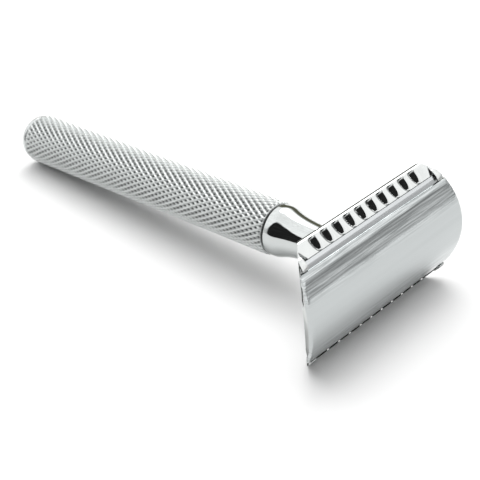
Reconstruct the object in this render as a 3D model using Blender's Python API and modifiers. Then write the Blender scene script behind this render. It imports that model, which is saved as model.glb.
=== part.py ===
"""Three-piece double-edge safety razor.

Frame: +X runs along the handle from its flat end towards the head, +Y along the
blade's edges, +Z across the head. The origin is the centre of the handle's flat
end face. Dimensions are millimetres; MM turns them into metres.

The blade lies between the base plate's bed and the underside of the cap. All
three follow arcs about one axis, which runs along Y.
"""

import math

import bmesh
import bpy
from mathutils import Matrix, Vector

MM = 0.001

# Dimensions shared between the handle and the head
NECK_TOP_X = 97.40
SEAT_GAP = 0.06              # between the neck's top and the base plate's boss
BOSS_X0 = NECK_TOP_X + SEAT_GAP
CAP_EDGE_X = 100.70          # the cap's long edges, on the top side
STUD_R = 2.45                # M5 x 0.8 thread
PIN_Y = 11.0
PIN_R = 1.20

# Arcs of the head
ARC_X = 82.60                # centre of the bed, blade and cap underside
BLADE_R = 19.93              # to the middle of the sheet
BLADE_T = 0.10
BLADE_GAP = 0.04             # on each face of the blade
BED_R = BLADE_R - BLADE_T / 2 - BLADE_GAP
CAP_UNDER_R = BLADE_R + BLADE_T / 2 + BLADE_GAP

# World directions of an outline's own x, y and z
PLAIN_AXES = [(1, 0, 0), (0, 1, 0), (0, 0, 1)]
SECTION_AXES = [(1, 0, 0), (0, 0, 1), (0, -1, 0)]    # drawn in (x, z)
PLAN_AXES = [(0, 1, 0), (0, 0, 1), (1, 0, 0)]        # drawn in (y, z)

SMOOTH_ANGLE = math.radians(30.0)

for old in list(bpy.data.objects):
    bpy.data.objects.remove(old, do_unlink=True)

parts = bpy.data.collections.new("safety_razor")
cutters = bpy.data.collections.new("cutters")
for group in (parts, cutters):
    bpy.context.scene.collection.children.link(group)


# --- Materials --------------------------------------------------------------

def metal(name, colour, roughness):
    mat = bpy.data.materials.new(name)
    mat.use_nodes = True
    shader = mat.node_tree.nodes["Principled BSDF"]
    shader.inputs["Base Color"].default_value = (*colour, 1.0)
    shader.inputs["Roughness"].default_value = roughness
    shader.inputs["Metallic"].default_value = 1.0
    mat.diffuse_color = (*colour, 1.0)
    return mat


CAP_CHROME = metal("polished_chrome", colour=(0.82, 0.84, 0.85), roughness=0.06)
GRIP_SATIN = metal("knurled_chrome", colour=(0.74, 0.76, 0.76), roughness=0.22)
PLUG_CHROME = metal("end_chrome", colour=(0.80, 0.82, 0.83), roughness=0.10)
NECK_CHROME = metal("neck_chrome", colour=(0.80, 0.82, 0.83), roughness=0.05)
PLATE_CHROME = metal("plate_chrome", colour=(0.80, 0.82, 0.82), roughness=0.10)
BLADE_STEEL = metal("blade_steel", colour=(0.66, 0.69, 0.70), roughness=0.18)
STUD_CHROME = metal("stud_chrome", colour=(0.70, 0.71, 0.72), roughness=0.20)
PIN_CHROME = metal("pin_chrome", colour=(0.72, 0.73, 0.74), roughness=0.16)


# --- Building tools ---------------------------------------------------------

def arc_x(radius, z):
    """X of a head arc at a given z."""
    return ARC_X + math.sqrt(radius * radius - z * z)


def link(obj, mat=None):
    """An object with a material is a part; one without is a boolean helper."""
    if mat:
        parts.objects.link(obj)
        obj.data.materials.clear()
        obj.data.materials.append(mat)
    else:
        cutters.objects.link(obj)
        obj.hide_render = True
        obj.display_type = "WIRE"
    return obj


def from_bmesh(name, bm, mat=None):
    mesh = bpy.data.meshes.new(name)
    bm.to_mesh(mesh)
    bm.free()
    return link(bpy.data.objects.new(name, mesh), mat)


def smooth(obj):
    obj.data.shade_smooth()
    obj.data.set_sharp_from_angle(angle=SMOOTH_ANGLE)


def turned(name, profile, mat, steps=48):
    """Revolve (radius, x) points about the handle's axis.

    The points run down the outer side from high x to low x. A profile that
    keeps off the axis at both ends is closed into a ring.
    """
    verts = [(radius * MM, 0.0, x * MM) for radius, x in profile]
    edges = [(i, i + 1) for i in range(len(verts) - 1)]
    if profile[0][0] > 0.0 and profile[-1][0] > 0.0:
        edges.append((len(verts) - 1, 0))
    mesh = bpy.data.meshes.new(name)
    mesh.from_pydata(verts, edges, [])
    obj = link(bpy.data.objects.new(name, mesh), mat)
    screw = obj.modifiers.new("turn", "SCREW")
    screw.axis = "Z"
    screw.angle = 2.0 * math.pi
    screw.steps = screw.render_steps = steps
    screw.use_merge_vertices = True
    screw.merge_threshold = 1e-6
    screw.use_smooth_shade = True
    obj.rotation_euler = (0.0, math.pi / 2.0, 0.0)
    return obj


def outline(name, loops, half, axes=PLAIN_AXES, origin=(0, 0, 0), mat=None):
    """Flat closed loops, those inside another being holes, thickened by half each way."""
    curve = bpy.data.curves.new(name, "CURVE")
    curve.dimensions = "2D"
    curve.fill_mode = "BOTH"
    curve.extrude = half * MM
    for loop in loops:
        spline = curve.splines.new("POLY")
        spline.points.add(len(loop) - 1)
        for point, (across, up) in zip(spline.points, loop):
            point.co = (across * MM, up * MM, 0.0, 1.0)
        spline.use_cyclic_u = True
    source = bpy.data.objects.new(name + "_curve", curve)
    bpy.context.scene.collection.objects.link(source)
    bpy.context.view_layer.update()
    evaluated = source.evaluated_get(bpy.context.evaluated_depsgraph_get())
    mesh = bpy.data.meshes.new_from_object(evaluated)
    mesh.name = name
    bpy.data.objects.remove(source, do_unlink=True)

    bm = bmesh.new()
    bm.from_mesh(mesh)
    bmesh.ops.remove_doubles(bm, verts=bm.verts, dist=1e-7)
    turn = Matrix([Vector(axis) for axis in axes]).transposed().to_4x4()
    bm.transform(Matrix.Translation(Vector(origin) * MM) @ turn)
    bmesh.ops.recalc_face_normals(bm, faces=bm.faces)
    bm.to_mesh(mesh)
    bm.free()
    return link(bpy.data.objects.new(name, mesh), mat)


def rods(name, cylinders):
    """A helper of closed cylinders along X: (radius, x0, x1, y, segments) each."""
    bm = bmesh.new()
    for radius, x0, x1, y, segments in cylinders:
        centre = Vector(((x0 + x1) / 2, y, 0.0)) * MM
        bmesh.ops.create_cone(
            bm, cap_ends=True, segments=segments,
            radius1=radius * MM, radius2=radius * MM, depth=(x1 - x0) * MM,
            matrix=Matrix.Translation(centre) @ Matrix.Rotation(math.pi / 2, 4, "Y"),
        )
    return from_bmesh(name, bm)


def joined(name, helpers):
    """Join several helpers into one."""
    bm = bmesh.new()
    for item in helpers:
        bm.from_mesh(item.data)
        bpy.data.objects.remove(item, do_unlink=True)
    return from_bmesh(name, bm)


def boolean(obj, helper, operation):
    mod = obj.modifiers.new(helper.name, "BOOLEAN")
    mod.operation = operation
    mod.solver = "EXACT"
    mod.object = helper


def slice_across(bm, normal, stations, dist):
    """Add rows of vertices on planes at stations along normal."""
    for station in stations:
        bmesh.ops.bisect_plane(
            bm, geom=bm.verts[:] + bm.edges[:] + bm.faces[:], dist=dist,
            plane_co=Vector(normal) * station, plane_no=normal,
        )


# --- Handle -----------------------------------------------------------------

GRIP_R = 5.50                # over the knurl
GRIP_BORE_R = 4.20
GRIP_X0, GRIP_X1 = 1.70, 75.70
GRIP_RINGS_X = (51.0, 26.0)  # extra rings of vertices along the grip
GRIP_CHAMFER_R, GRIP_CHAMFER_X = 0.30, 0.45

RIM_R = GRIP_R - 0.25        # plug and neck, where they meet the grip
SEAM_GAP = 0.05              # between the grip's ends and their neighbours
SPIGOT_R = GRIP_BORE_R - 0.05

PLUG_FACE_R = 4.10           # flat end face
PLUG_ROUND_X = 1.20          # length of the rounded edge
PLUG_ROUND_STEPS = 6
PLUG_SPIGOT_X = 10.0

NECK_X0 = GRIP_X1 + 0.5      # a dark line 0.5 wide parts grip and neck
NECK_GROOVE_R = 4.85         # bottom of that line
NECK_RIM_X = 78.0
NECK_TOP_R = 3.15
NECK_STRAIGHT = 0.42         # straight share of the taper; the rest is exponential
NECK_DECAY = 5.2
NECK_STEPS = 15
NECK_CROWDING = 1.3          # above 1 crowds the steps towards the rim
NECK_TAPER_X0, NECK_TAPER_X1 = NECK_RIM_X + 0.15, NECK_TOP_X - 0.12
NECK_SPIGOT_X = 61.0
NECK_SPIGOT_CHAMFER = 0.4
TAPPED_R = STUD_R + 0.10
TAPPED_X = 87.0
TAPPED_CONE_X = 1.2          # cone at the bottom of the tapped hole


def build_grip():
    end_r = GRIP_R - GRIP_CHAMFER_R
    profile = [(end_r, GRIP_X1), (GRIP_R, GRIP_X1 - GRIP_CHAMFER_X)]
    profile += [(GRIP_R, x) for x in GRIP_RINGS_X]
    profile += [
        (GRIP_R, GRIP_X0 + GRIP_CHAMFER_X), (end_r, GRIP_X0),
        (GRIP_BORE_R, GRIP_X0), (GRIP_BORE_R, GRIP_X1),
    ]
    return turned("knurled_grip", profile, GRIP_SATIN)


def build_plug():
    """Flat-ended plug whose spigot sits in the grip's bore."""
    shoulder_x = GRIP_X0 - SEAM_GAP
    profile = [
        (0.0, PLUG_SPIGOT_X), (SPIGOT_R, PLUG_SPIGOT_X),
        (SPIGOT_R, shoulder_x), (RIM_R, shoulder_x),
    ]
    for i in range(PLUG_ROUND_STEPS + 1):
        turn = math.radians(90.0 * i / PLUG_ROUND_STEPS)
        profile.append((
            PLUG_FACE_R + (RIM_R - PLUG_FACE_R) * math.cos(turn),
            PLUG_ROUND_X * (1.0 - math.sin(turn)),
        ))
    profile.append((0.0, 0.0))
    return turned("grip_end_plug", profile, PLUG_CHROME)


def neck_radius(x):
    """Concave taper from the rim to the seat under the head."""
    t = (x - NECK_RIM_X) / (NECK_TOP_X - NECK_RIM_X)
    flare = (1 - NECK_STRAIGHT) * math.exp(-NECK_DECAY * t)
    return NECK_TOP_R + (RIM_R - NECK_TOP_R) * (NECK_STRAIGHT + flare) * (1 - t)


def build_neck():
    """Tapered neck, with a tapped hole at the top and a spigot in the grip."""
    profile = [
        (0.0, TAPPED_X - TAPPED_CONE_X), (TAPPED_R, TAPPED_X),
        (TAPPED_R, NECK_TOP_X - 0.4), (TAPPED_R + 0.15, NECK_TOP_X),
        (NECK_TOP_R - 0.12, NECK_TOP_X),
    ]
    for i in range(NECK_STEPS, -1, -1):
        along = (i / NECK_STEPS) ** NECK_CROWDING
        x = NECK_TAPER_X0 + (NECK_TAPER_X1 - NECK_TAPER_X0) * along
        profile.append((neck_radius(x), x))
    shoulder_x = GRIP_X1 + SEAM_GAP
    profile += [
        (RIM_R, NECK_RIM_X - 0.2), (RIM_R, NECK_X0 + 0.15), (RIM_R - 0.15, NECK_X0),
        (NECK_GROOVE_R, NECK_X0), (NECK_GROOVE_R, shoulder_x), (SPIGOT_R, shoulder_x),
        (SPIGOT_R, NECK_SPIGOT_X + NECK_SPIGOT_CHAMFER),
        (SPIGOT_R - NECK_SPIGOT_CHAMFER, NECK_SPIGOT_X), (0.0, NECK_SPIGOT_X),
    ]
    return turned("neck_collar", profile, NECK_CHROME)


# --- Base plate -------------------------------------------------------------

PLATE_BLANK_HALF_L = 22.4    # before its ends are cut
BED_HALF_W, BED_STEPS = 9.55, 10
UNDER_R = 18.00
UNDER_HALF_W, UNDER_STEPS = 11.75, 11
RAMP_SUM = 110.35            # the guard's ribs lie on x + |z| = this
RIB_IN_X, RIB_OUT_X = 99.66, 97.75

# Channel under the blade's edge: (x from CAP_EDGE_X, z)
CHANNEL = [(-1.60, 10.20), (-1.58, 10.46), (-1.40, 10.60)]
# The guard's rounded outer edge: (x from RIB_OUT_X, z)
GUARD_EDGE = [(-0.30, 12.80), (-0.65, 12.70), (-0.97, 12.42), (-1.09, 12.10)]

# The plate's +Y end, tapering towards the underside: (x from CAP_EDGE_X, y)
END_CURVE = [
    (3.8, 21.7), (0.5, 21.6), (-0.2, 21.0), (-0.7, 20.5), (-1.2, 20.05),
    (-2.3, 18.95), (-3.0, 18.05), (-3.8, 17.1), (-4.4, 16.4), (-5.0, 15.4),
]

# Plan view: bowed ends between the corners, rounded at the guard
PLAN_HALF_L = 21.7           # on the centre line
PLAN_BOW = 1.20
PLAN_CORNER_Z = 9.6          # where the corner's rounding starts
PLAN_HALF_W = 12.9
PLAN_CORNER_DROP = 3.6       # length lost over the rounding
PLAN_CORNER_POWERS = (2.6, 0.62)
PLAN_STEPS = 16

SCALLOP_N = 10
SCALLOP_PITCH = 3.176
SCALLOP_SLOPE = 1.12         # depth for each millimetre in from a scallop's lip
SCALLOP_PROUD = 0.25         # how far the cutter stands above the ramp
SCALLOP_TIP_X = 99.74        # inner tip of a scallop on the ramp
# One scallop: (distance out along the ramp, half width)
SCALLOP = [
    (-0.05, 0.06), (0.4, 0.52), (0.9, 0.76), (1.4, 0.90), (2.0, 0.98),
    (2.5, 1.00), (2.7, 0.88), (2.82, 0.54), (2.88, 0.06),
]

# Triangular relief beside each end of the blade's edge: (y, distance out along the ramp)
RELIEF = [(17.60, -0.35), (19.00, -0.35), (18.20, 1.65)]
RELIEF_HALF_T = 0.75
RELIEF_SINK = 0.1            # its mid-plane lies this far under the ramp

# Corner lug: (x from CAP_EDGE_X, z)
LUG = [
    (-1.75, 9.52), (-0.02, 9.52), (0.06, 9.62), (-0.32, 10.30),
    (-1.42, 11.38), (-2.30, 12.0), (-2.9, 11.2),
]
LUG_Y, LUG_HALF_T = 19.62, 0.72

BOSS_R = 4.40
BOSS_X1 = 101.4
STUD_BORE_R = STUD_R + 0.30
PIN_HOLE_R = PIN_R + 0.25
BORE_X0, BORE_X1 = 91.0, 109.0


def plate_section():
    """Bed, channel, ramp, guard and underside, mirrored across z = 0."""
    bed = [BED_HALF_W * i / BED_STEPS for i in range(BED_STEPS + 1)]
    under = [UNDER_HALF_W * i / UNDER_STEPS for i in range(UNDER_STEPS, -1, -1)]
    half = [(arc_x(BED_R, z), z) for z in bed]
    half += [(CAP_EDGE_X + x, z) for x, z in CHANNEL]
    half += [(x, RAMP_SUM - x) for x in (RIB_IN_X, RIB_OUT_X)]
    half += [(RIB_OUT_X + x, z) for x, z in GUARD_EDGE]
    half += [(arc_x(UNDER_R, z), z) for z in under]
    return half + [(x, -z) for x, z in reversed(half)][1:-1]


def end_trim():
    loop = [(CAP_EDGE_X + x, y) for x, y in END_CURVE]
    loop += [(x, -y) for x, y in reversed(loop)]
    return outline("cut_plate_ends", [loop], half=15.0)


def plan_half_length(z):
    if z <= PLAN_CORNER_Z:
        return PLAN_HALF_L - PLAN_BOW * (z / PLAN_CORNER_Z) ** 2
    inner, outer = PLAN_CORNER_POWERS
    corner = min(1.0, (z - PLAN_CORNER_Z) / (PLAN_HALF_W - PLAN_CORNER_Z))
    drop = PLAN_CORNER_DROP * (1.0 - (1.0 - corner ** inner) ** outer)
    return PLAN_HALF_L - PLAN_BOW - drop


def plan_trim():
    stations = [PLAN_HALF_W * i / PLAN_STEPS for i in range(PLAN_STEPS + 1)]
    quarter = [(plan_half_length(z), z) for z in stations]
    half = [(y, -z) for y, z in reversed(quarter[1:])] + quarter
    loop = half + [(-y, -z) for y, z in half]
    return outline("cut_plate_plan", [loop], half=12.0, axes=PLAN_AXES, origin=(98.0, 0, 0))


def ramp_frame(side):
    """Scallop tip at y = 0, and the ramp's outward and normal directions."""
    diagonal = math.sqrt(0.5)
    tip = Vector((SCALLOP_TIP_X, 0.0, side * (RAMP_SUM - SCALLOP_TIP_X)))
    out = Vector((-diagonal, 0.0, side * diagonal))
    normal = Vector((diagonal, 0.0, side * diagonal))
    return tip, out, normal


def scallop_row(side):
    """A row of V grooves: lofts of triangles that deepen with their width."""
    bm = bmesh.new()
    tip, out, normal = ramp_frame(side)
    for i in range(SCALLOP_N):
        y = (i - (SCALLOP_N - 1) / 2) * SCALLOP_PITCH
        rings = []
        for distance, half in SCALLOP:
            centre = tip + out * distance + Vector((0.0, y, 0.0))
            lip = centre + normal * SCALLOP_PROUD
            reach = Vector((0.0, half + SCALLOP_PROUD / SCALLOP_SLOPE, 0.0))
            bottom = centre - normal * (SCALLOP_SLOPE * half)
            rings.append([bm.verts.new(p * MM) for p in (lip + reach, lip - reach, bottom)])
        bm.faces.new(rings[0])
        bm.faces.new(rings[-1])
        for a, b in zip(rings, rings[1:]):
            for k in range(3):
                following = (k + 1) % 3
                bm.faces.new((a[k], a[following], b[following], b[k]))
    bmesh.ops.triangulate(bm, faces=bm.faces)
    bmesh.ops.recalc_face_normals(bm, faces=bm.faces)
    return from_bmesh(f"scallops_{side}", bm)


def relief_pair(side):
    tip, out, normal = ramp_frame(side)
    loops = [[(end * y, distance) for y, distance in RELIEF] for end in (1, -1)]
    return outline(
        f"relief_{side}", loops, RELIEF_HALF_T,
        axes=[(0, 1, 0), out, side * normal], origin=tip - RELIEF_SINK * normal,
    )


def corner_lugs():
    """A lug fills each notch of the blade."""
    lugs = []
    for side in (1, -1):
        loop = [(CAP_EDGE_X + x, side * z) for x, z in LUG]
        for end in (1, -1):
            lugs.append(outline(
                f"lug_{side}_{end}", [loop], LUG_HALF_T,
                axes=SECTION_AXES, origin=(0, end * LUG_Y, 0),
            ))
    return joined("add_lugs", lugs)


def build_plate():
    plate = outline(
        "base_plate", [plate_section()], PLATE_BLANK_HALF_L,
        axes=SECTION_AXES, mat=PLATE_CHROME,
    )
    boss = rods("add_boss", [(BOSS_R, BOSS_X0, BOSS_X1, 0.0, 40)])
    grooves = [scallop_row(side) for side in (1, -1)]
    grooves += [relief_pair(side) for side in (1, -1)]
    bores = rods("cut_plate_bores", [
        (STUD_BORE_R, BORE_X0, BORE_X1, 0.0, 40),
        (PIN_HOLE_R, BORE_X0, BORE_X1, -PIN_Y, 24),
        (PIN_HOLE_R, BORE_X0, BORE_X1, PIN_Y, 24),
    ])
    boolean(plate, corner_lugs(), "UNION")
    boolean(plate, end_trim(), "INTERSECT")
    boolean(plate, plan_trim(), "INTERSECT")
    boolean(plate, boss, "UNION")
    boolean(plate, joined("cut_scallops", grooves), "DIFFERENCE")
    boolean(plate, bores, "DIFFERENCE")
    smooth(plate)
    return plate


# --- Blade: drawn flat in (y, s), then bent; s is the distance round the arc --

BLADE_HALF_W = 11.0
BLADE_HALF_L = 21.4
EDGE_HALF_L = 18.5
TAB_HALF_W = 9.2             # of the tabs beyond the ends of the edges
GROUND_W = 0.65              # width of the ground edge
KEEN_SHARE = 0.16            # share of the thickness left at the very edge
BEND_STEPS = 20
SLOT_HALF_W = 0.85
# Round openings along the slot: (y, radius)
SLOT_LOBES = [(-16.4, 1.75), (-PIN_Y, 1.75), (0.0, 3.30), (PIN_Y, 1.75), (16.4, 1.75)]
LOBE_STEPS = 8


def blade_outline():
    quarter = [
        (EDGE_HALF_L, BLADE_HALF_W), (EDGE_HALF_L, TAB_HALF_W + 0.3),
        (EDGE_HALF_L + 0.3, TAB_HALF_W), (BLADE_HALF_L - 1.6, TAB_HALF_W),
        (BLADE_HALF_L - 0.5, TAB_HALF_W - 0.5), (BLADE_HALF_L, TAB_HALF_W - 1.7),
    ]
    half = quarter + [(y, -s) for y, s in reversed(quarter)]
    return half + [(-y, -s) for y, s in half]


def slotted_opening():
    """The long centre slot with its round openings, walked once round."""
    top = []
    for y, radius in SLOT_LOBES:
        reach = math.asin(SLOT_HALF_W / radius)
        start = math.pi if y == SLOT_LOBES[0][0] else math.pi - reach
        stop = 0.0 if y == SLOT_LOBES[-1][0] else reach
        for i in range(LOBE_STEPS + 1):
            turn = start + (stop - start) * i / LOBE_STEPS
            top.append((y + radius * math.cos(turn), radius * math.sin(turn)))
    return top + [(y, -s) for y, s in reversed(top)][1:-1]


def build_blade():
    blade = outline(
        "blade", [blade_outline(), slotted_opening()], BLADE_T / 2, mat=BLADE_STEEL,
    )
    bm = bmesh.new()
    bm.from_mesh(blade.data)
    flat_half_w = BLADE_HALF_W - GROUND_W
    rows = [-flat_half_w + 2 * flat_half_w * i / BEND_STEPS for i in range(BEND_STEPS + 1)]
    slice_across(bm, (0, 1, 0), [row * MM for row in rows], dist=1e-8)
    bmesh.ops.remove_doubles(bm, verts=bm.verts, dist=1e-7)
    for vert in bm.verts:
        y, s, height = vert.co / MM
        keen = min(1.0, max(KEEN_SHARE, (BLADE_HALF_W - abs(s)) / GROUND_W))
        radius = BLADE_R + height * keen
        turn = s / BLADE_R
        bent = Vector((ARC_X + radius * math.cos(turn), y, radius * math.sin(turn)))
        vert.co = bent * MM
    bmesh.ops.recalc_face_normals(bm, faces=bm.faces)
    bm.to_mesh(blade.data)
    bm.free()
    smooth(blade)
    return blade


# --- Cap, with its stud and alignment pins ----------------------------------

CAP_HALF_W = 9.22
CAP_RISE = 2.95
CAP_HALF_L = 21.0            # at the corners
CAP_BOW = 1.33               # how far the ends bow out between the corners
CAP_STRIPS = 28
CAP_TOP_R = (CAP_RISE ** 2 + CAP_HALF_W ** 2) / (2 * CAP_RISE)
CAP_TOP_ARC_X = CAP_EDGE_X + CAP_RISE - CAP_TOP_R
STUD_TIP_X, STUD_ROOT_X = 90.9, 103.15
STUD_CHAMFER = 0.5
PIN_X0, PIN_X1 = 98.3, 103.0
SOCKET_X0 = 99.0             # below the cap's underside
SOCKET_GAP = 0.03


def build_cap():
    """A unit cube cut into strips along Y, then shaped to the two arcs."""
    bm = bmesh.new()
    bmesh.ops.create_cube(bm, size=2.0)
    rows = [-1 + 2 * i / CAP_STRIPS for i in range(1, CAP_STRIPS)]
    slice_across(bm, (0, 0, 1), rows, dist=1e-6)
    for vert in bm.verts:
        z = CAP_HALF_W * vert.co.z
        y = math.copysign(CAP_HALF_L + CAP_BOW * (1 - vert.co.z ** 2), vert.co.y)
        if vert.co.x > 0:
            x = CAP_TOP_ARC_X + math.sqrt(CAP_TOP_R ** 2 - z * z)
        else:
            x = arc_x(CAP_UNDER_R, z)
        vert.co = Vector((x, y, z)) * MM
    cap = from_bmesh("top_cap", bm, CAP_CHROME)

    sockets = rods("cut_cap_sockets", [
        (STUD_R + SOCKET_GAP, SOCKET_X0, STUD_ROOT_X + SOCKET_GAP, 0.0, 40),
        (PIN_R + SOCKET_GAP, SOCKET_X0, PIN_X1 + SOCKET_GAP, -PIN_Y, 24),
        (PIN_R + SOCKET_GAP, SOCKET_X0, PIN_X1 + SOCKET_GAP, PIN_Y, 24),
    ])
    boolean(cap, sockets, "DIFFERENCE")
    bevel = cap.modifiers.new("round_edges", "BEVEL")
    bevel.width = 0.10 * MM
    bevel.segments = 2
    bevel.limit_method = "ANGLE"
    bevel.angle_limit = math.radians(40)
    smooth(cap)
    return cap


def build_stud():
    profile = [
        (0.0, STUD_ROOT_X), (STUD_R, STUD_ROOT_X), (STUD_R, STUD_TIP_X + STUD_CHAMFER),
        (STUD_R - STUD_CHAMFER, STUD_TIP_X), (0.0, STUD_TIP_X),
    ]
    return turned("cap_stud", profile, STUD_CHROME, steps=40)


def build_pin(name, y):
    profile = [
        (0.0, PIN_X1), (PIN_R, PIN_X1), (PIN_R, PIN_X0 + 0.5),
        (PIN_R - 0.18, PIN_X0 + 0.15), (PIN_R - 0.5, PIN_X0), (0.0, PIN_X0),
    ]
    pin = turned(name, profile, PIN_CHROME, steps=24)
    pin.location.y = y * MM
    return pin


# --- Structure: each moving group hangs on an empty on the screw's axis -----

def empty(name, parent=None, offset_x=0.0):
    obj = bpy.data.objects.new(name, None)
    parts.objects.link(obj)
    obj.location.x = offset_x * MM
    obj.parent = parent
    return obj


def hang(objects, parent, parent_x):
    """Parent objects to an empty at parent_x, keeping them in place."""
    for obj in objects:
        obj.parent = parent
        obj.location.x -= parent_x * MM


def build_razor():
    handle = [build_grip(), build_plug(), build_neck()]
    plate = build_plate()
    blade = build_blade()
    cap_group = [
        build_cap(), build_stud(),
        build_pin("cap_pin_left", -PIN_Y), build_pin("cap_pin_right", PIN_Y),
    ]
    handle_frame = empty("handle_frame")
    head_axis = empty("head_axis", handle_frame, BOSS_X0)
    cap_axis = empty("cap_axis", head_axis)
    blade_axis = empty("blade_axis", head_axis)
    hang(handle, handle_frame, 0.0)
    hang([plate], head_axis, BOSS_X0)
    hang([blade], blade_axis, BOSS_X0)
    hang(cap_group, cap_axis, BOSS_X0)
    bpy.context.view_layer.update()


build_razor()
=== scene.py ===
"""Looks of the three-piece safety razor: fine meshes, chrome, floor, light and camera.

The handle lies along X with the end of its grip near x = 0 and the head near x = 100, where the
cap is outermost. Y runs along the blade and Z across it. Each half of the head mirrors the other
in y and in z. Lengths are millimetres; MM turns them into metres.
"""

import math

import bmesh
import bpy
from mathutils import Matrix, Vector


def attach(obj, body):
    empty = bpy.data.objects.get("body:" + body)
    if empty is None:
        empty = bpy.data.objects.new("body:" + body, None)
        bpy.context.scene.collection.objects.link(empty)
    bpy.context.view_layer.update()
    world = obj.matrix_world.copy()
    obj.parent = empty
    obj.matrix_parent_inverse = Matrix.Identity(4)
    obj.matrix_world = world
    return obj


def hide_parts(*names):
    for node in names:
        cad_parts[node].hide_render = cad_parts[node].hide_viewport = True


MM = 0.001
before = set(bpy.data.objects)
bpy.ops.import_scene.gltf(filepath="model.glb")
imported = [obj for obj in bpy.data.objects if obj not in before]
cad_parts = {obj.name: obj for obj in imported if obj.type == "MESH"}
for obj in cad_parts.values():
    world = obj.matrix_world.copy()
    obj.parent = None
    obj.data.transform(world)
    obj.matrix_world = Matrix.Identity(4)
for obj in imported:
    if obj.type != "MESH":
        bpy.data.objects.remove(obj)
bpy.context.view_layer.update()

pieces = bpy.data.collections.new("razor_looks")
bpy.context.scene.collection.children.link(pieces)


# --- Shader node helpers ------------------------------------------------------

def new_material(name):
    material = bpy.data.materials.new(name)
    material.use_nodes = True
    tree = material.node_tree
    return material, tree, tree.nodes["Principled BSDF"]


def node(tree, kind, **values):
    item = tree.nodes.new(kind)
    for key, value in values.items():
        setattr(item, key, value)
    return item


def feed(tree, socket, value):
    """Link a socket to an input, or set the input to a plain value."""
    if isinstance(value, bpy.types.NodeSocket):
        tree.links.new(value, socket)
    else:
        socket.default_value = value


def math_node(tree, operation, first, second=None, clamp=False):
    item = node(tree, "ShaderNodeMath", operation=operation, use_clamp=clamp)
    feed(tree, item.inputs[0], first)
    if second is not None:
        feed(tree, item.inputs[1], second)
    return item.outputs[0]


def vector_math(tree, operation, first, second, output="Vector"):
    item = node(tree, "ShaderNodeVectorMath", operation=operation)
    feed(tree, item.inputs[0], first)
    feed(tree, item.inputs[1], second)
    return item.outputs[output]


def mix_colour(tree, factor, first, second, blend_type="MIX"):
    item = node(tree, "ShaderNodeMix", data_type="RGBA", blend_type=blend_type)
    for index, value in ((0, factor), (6, first), (7, second)):
        feed(tree, item.inputs[index], value)
    return item.outputs[2]


def ramp(tree, factor, stops, interpolation="LINEAR"):
    """A colour ramp; each stop is (place, grey level or colour)."""
    item = node(tree, "ShaderNodeValToRGB")
    item.color_ramp.interpolation = interpolation
    elements = item.color_ramp.elements
    while len(elements) > 1:
        elements.remove(elements[-1])
    for index, (place, value) in enumerate(stops):
        colour = value if isinstance(value, tuple) else (value, value, value)
        element = elements[0] if index == 0 else elements.new(place)
        element.position = place
        element.color = (*colour, 1.0)
    tree.links.new(factor, item.inputs[0])
    return item.outputs[0]


def noise(tree, vector, detail, roughness):
    item = node(tree, "ShaderNodeTexNoise")
    item.inputs["Scale"].default_value = 1.0
    item.inputs["Detail"].default_value = detail
    item.inputs["Roughness"].default_value = roughness
    tree.links.new(vector, item.inputs["Vector"])
    return item.outputs["Fac"]


def streak_noise(tree, cycles, detail=4.0):
    """Object-space noise; cycles is how many per millimetre along x, y and z."""
    coords = node(tree, "ShaderNodeTexCoord")
    mapping = node(tree, "ShaderNodeMapping")
    mapping.inputs["Scale"].default_value = [count * 1000.0 for count in cycles]
    tree.links.new(coords.outputs["Object"], mapping.inputs["Vector"])
    return noise(tree, mapping.outputs[0], detail, roughness=0.6)


def object_axis(tree, axis):
    """One object-space coordinate, in metres."""
    coords = node(tree, "ShaderNodeTexCoord")
    split = node(tree, "ShaderNodeSeparateXYZ")
    tree.links.new(coords.outputs["Object"], split.inputs[0])
    return split.outputs[axis]


def progress(tree, metres, start, stop):
    """0 at start and 1 at stop, both in millimetres."""
    length = math_node(tree, "MULTIPLY", metres, 1000.0)
    past = math_node(tree, "SUBTRACT", length, start)
    return math_node(tree, "DIVIDE", past, stop - start, clamp=True)


def bump(tree, shader, cycles, depth):
    """Raise noise with this many cycles per millimetre to a depth in millimetres."""
    height = streak_noise(tree, cycles, detail=3.0)
    item = node(tree, "ShaderNodeBump")
    item.inputs["Strength"].default_value = 1.0
    item.inputs["Distance"].default_value = depth * MM
    tree.links.new(height, item.inputs["Height"])
    tree.links.new(item.outputs[0], shader.inputs["Normal"])


# --- Materials ----------------------------------------------------------------

def chrome(name, colour, rough, haze, scratches, depth, tint, edge=1.0):
    """Plated metal: uneven polish, faint cloudiness and fine scratches.

    haze and scratches are cycles per millimetre along x, y and z; rough is the roughness
    (clear, hazy); depth is the scratches'; tint is the spread of tone; edge is the
    brightness at grazing angles.
    """
    material, tree, shader = new_material(name)
    shader.inputs["Metallic"].default_value = 1.0
    shader.inputs["Specular Tint"].default_value = (edge, edge, edge, 1.0)
    cloud = streak_noise(tree, haze)
    shade = ramp(tree, cloud, [
        (0.25, tuple(channel * (1.0 - tint) for channel in colour)),
        (0.75, tuple(min(1.0, channel * (1.0 + tint)) for channel in colour)),
    ])
    tree.links.new(shade, shader.inputs["Base Color"])
    polish = ramp(tree, cloud, [(0.3, rough[0]), (0.8, rough[1])])
    tree.links.new(polish, shader.inputs["Roughness"])
    bump(tree, shader, scratches, depth)
    return material


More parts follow.
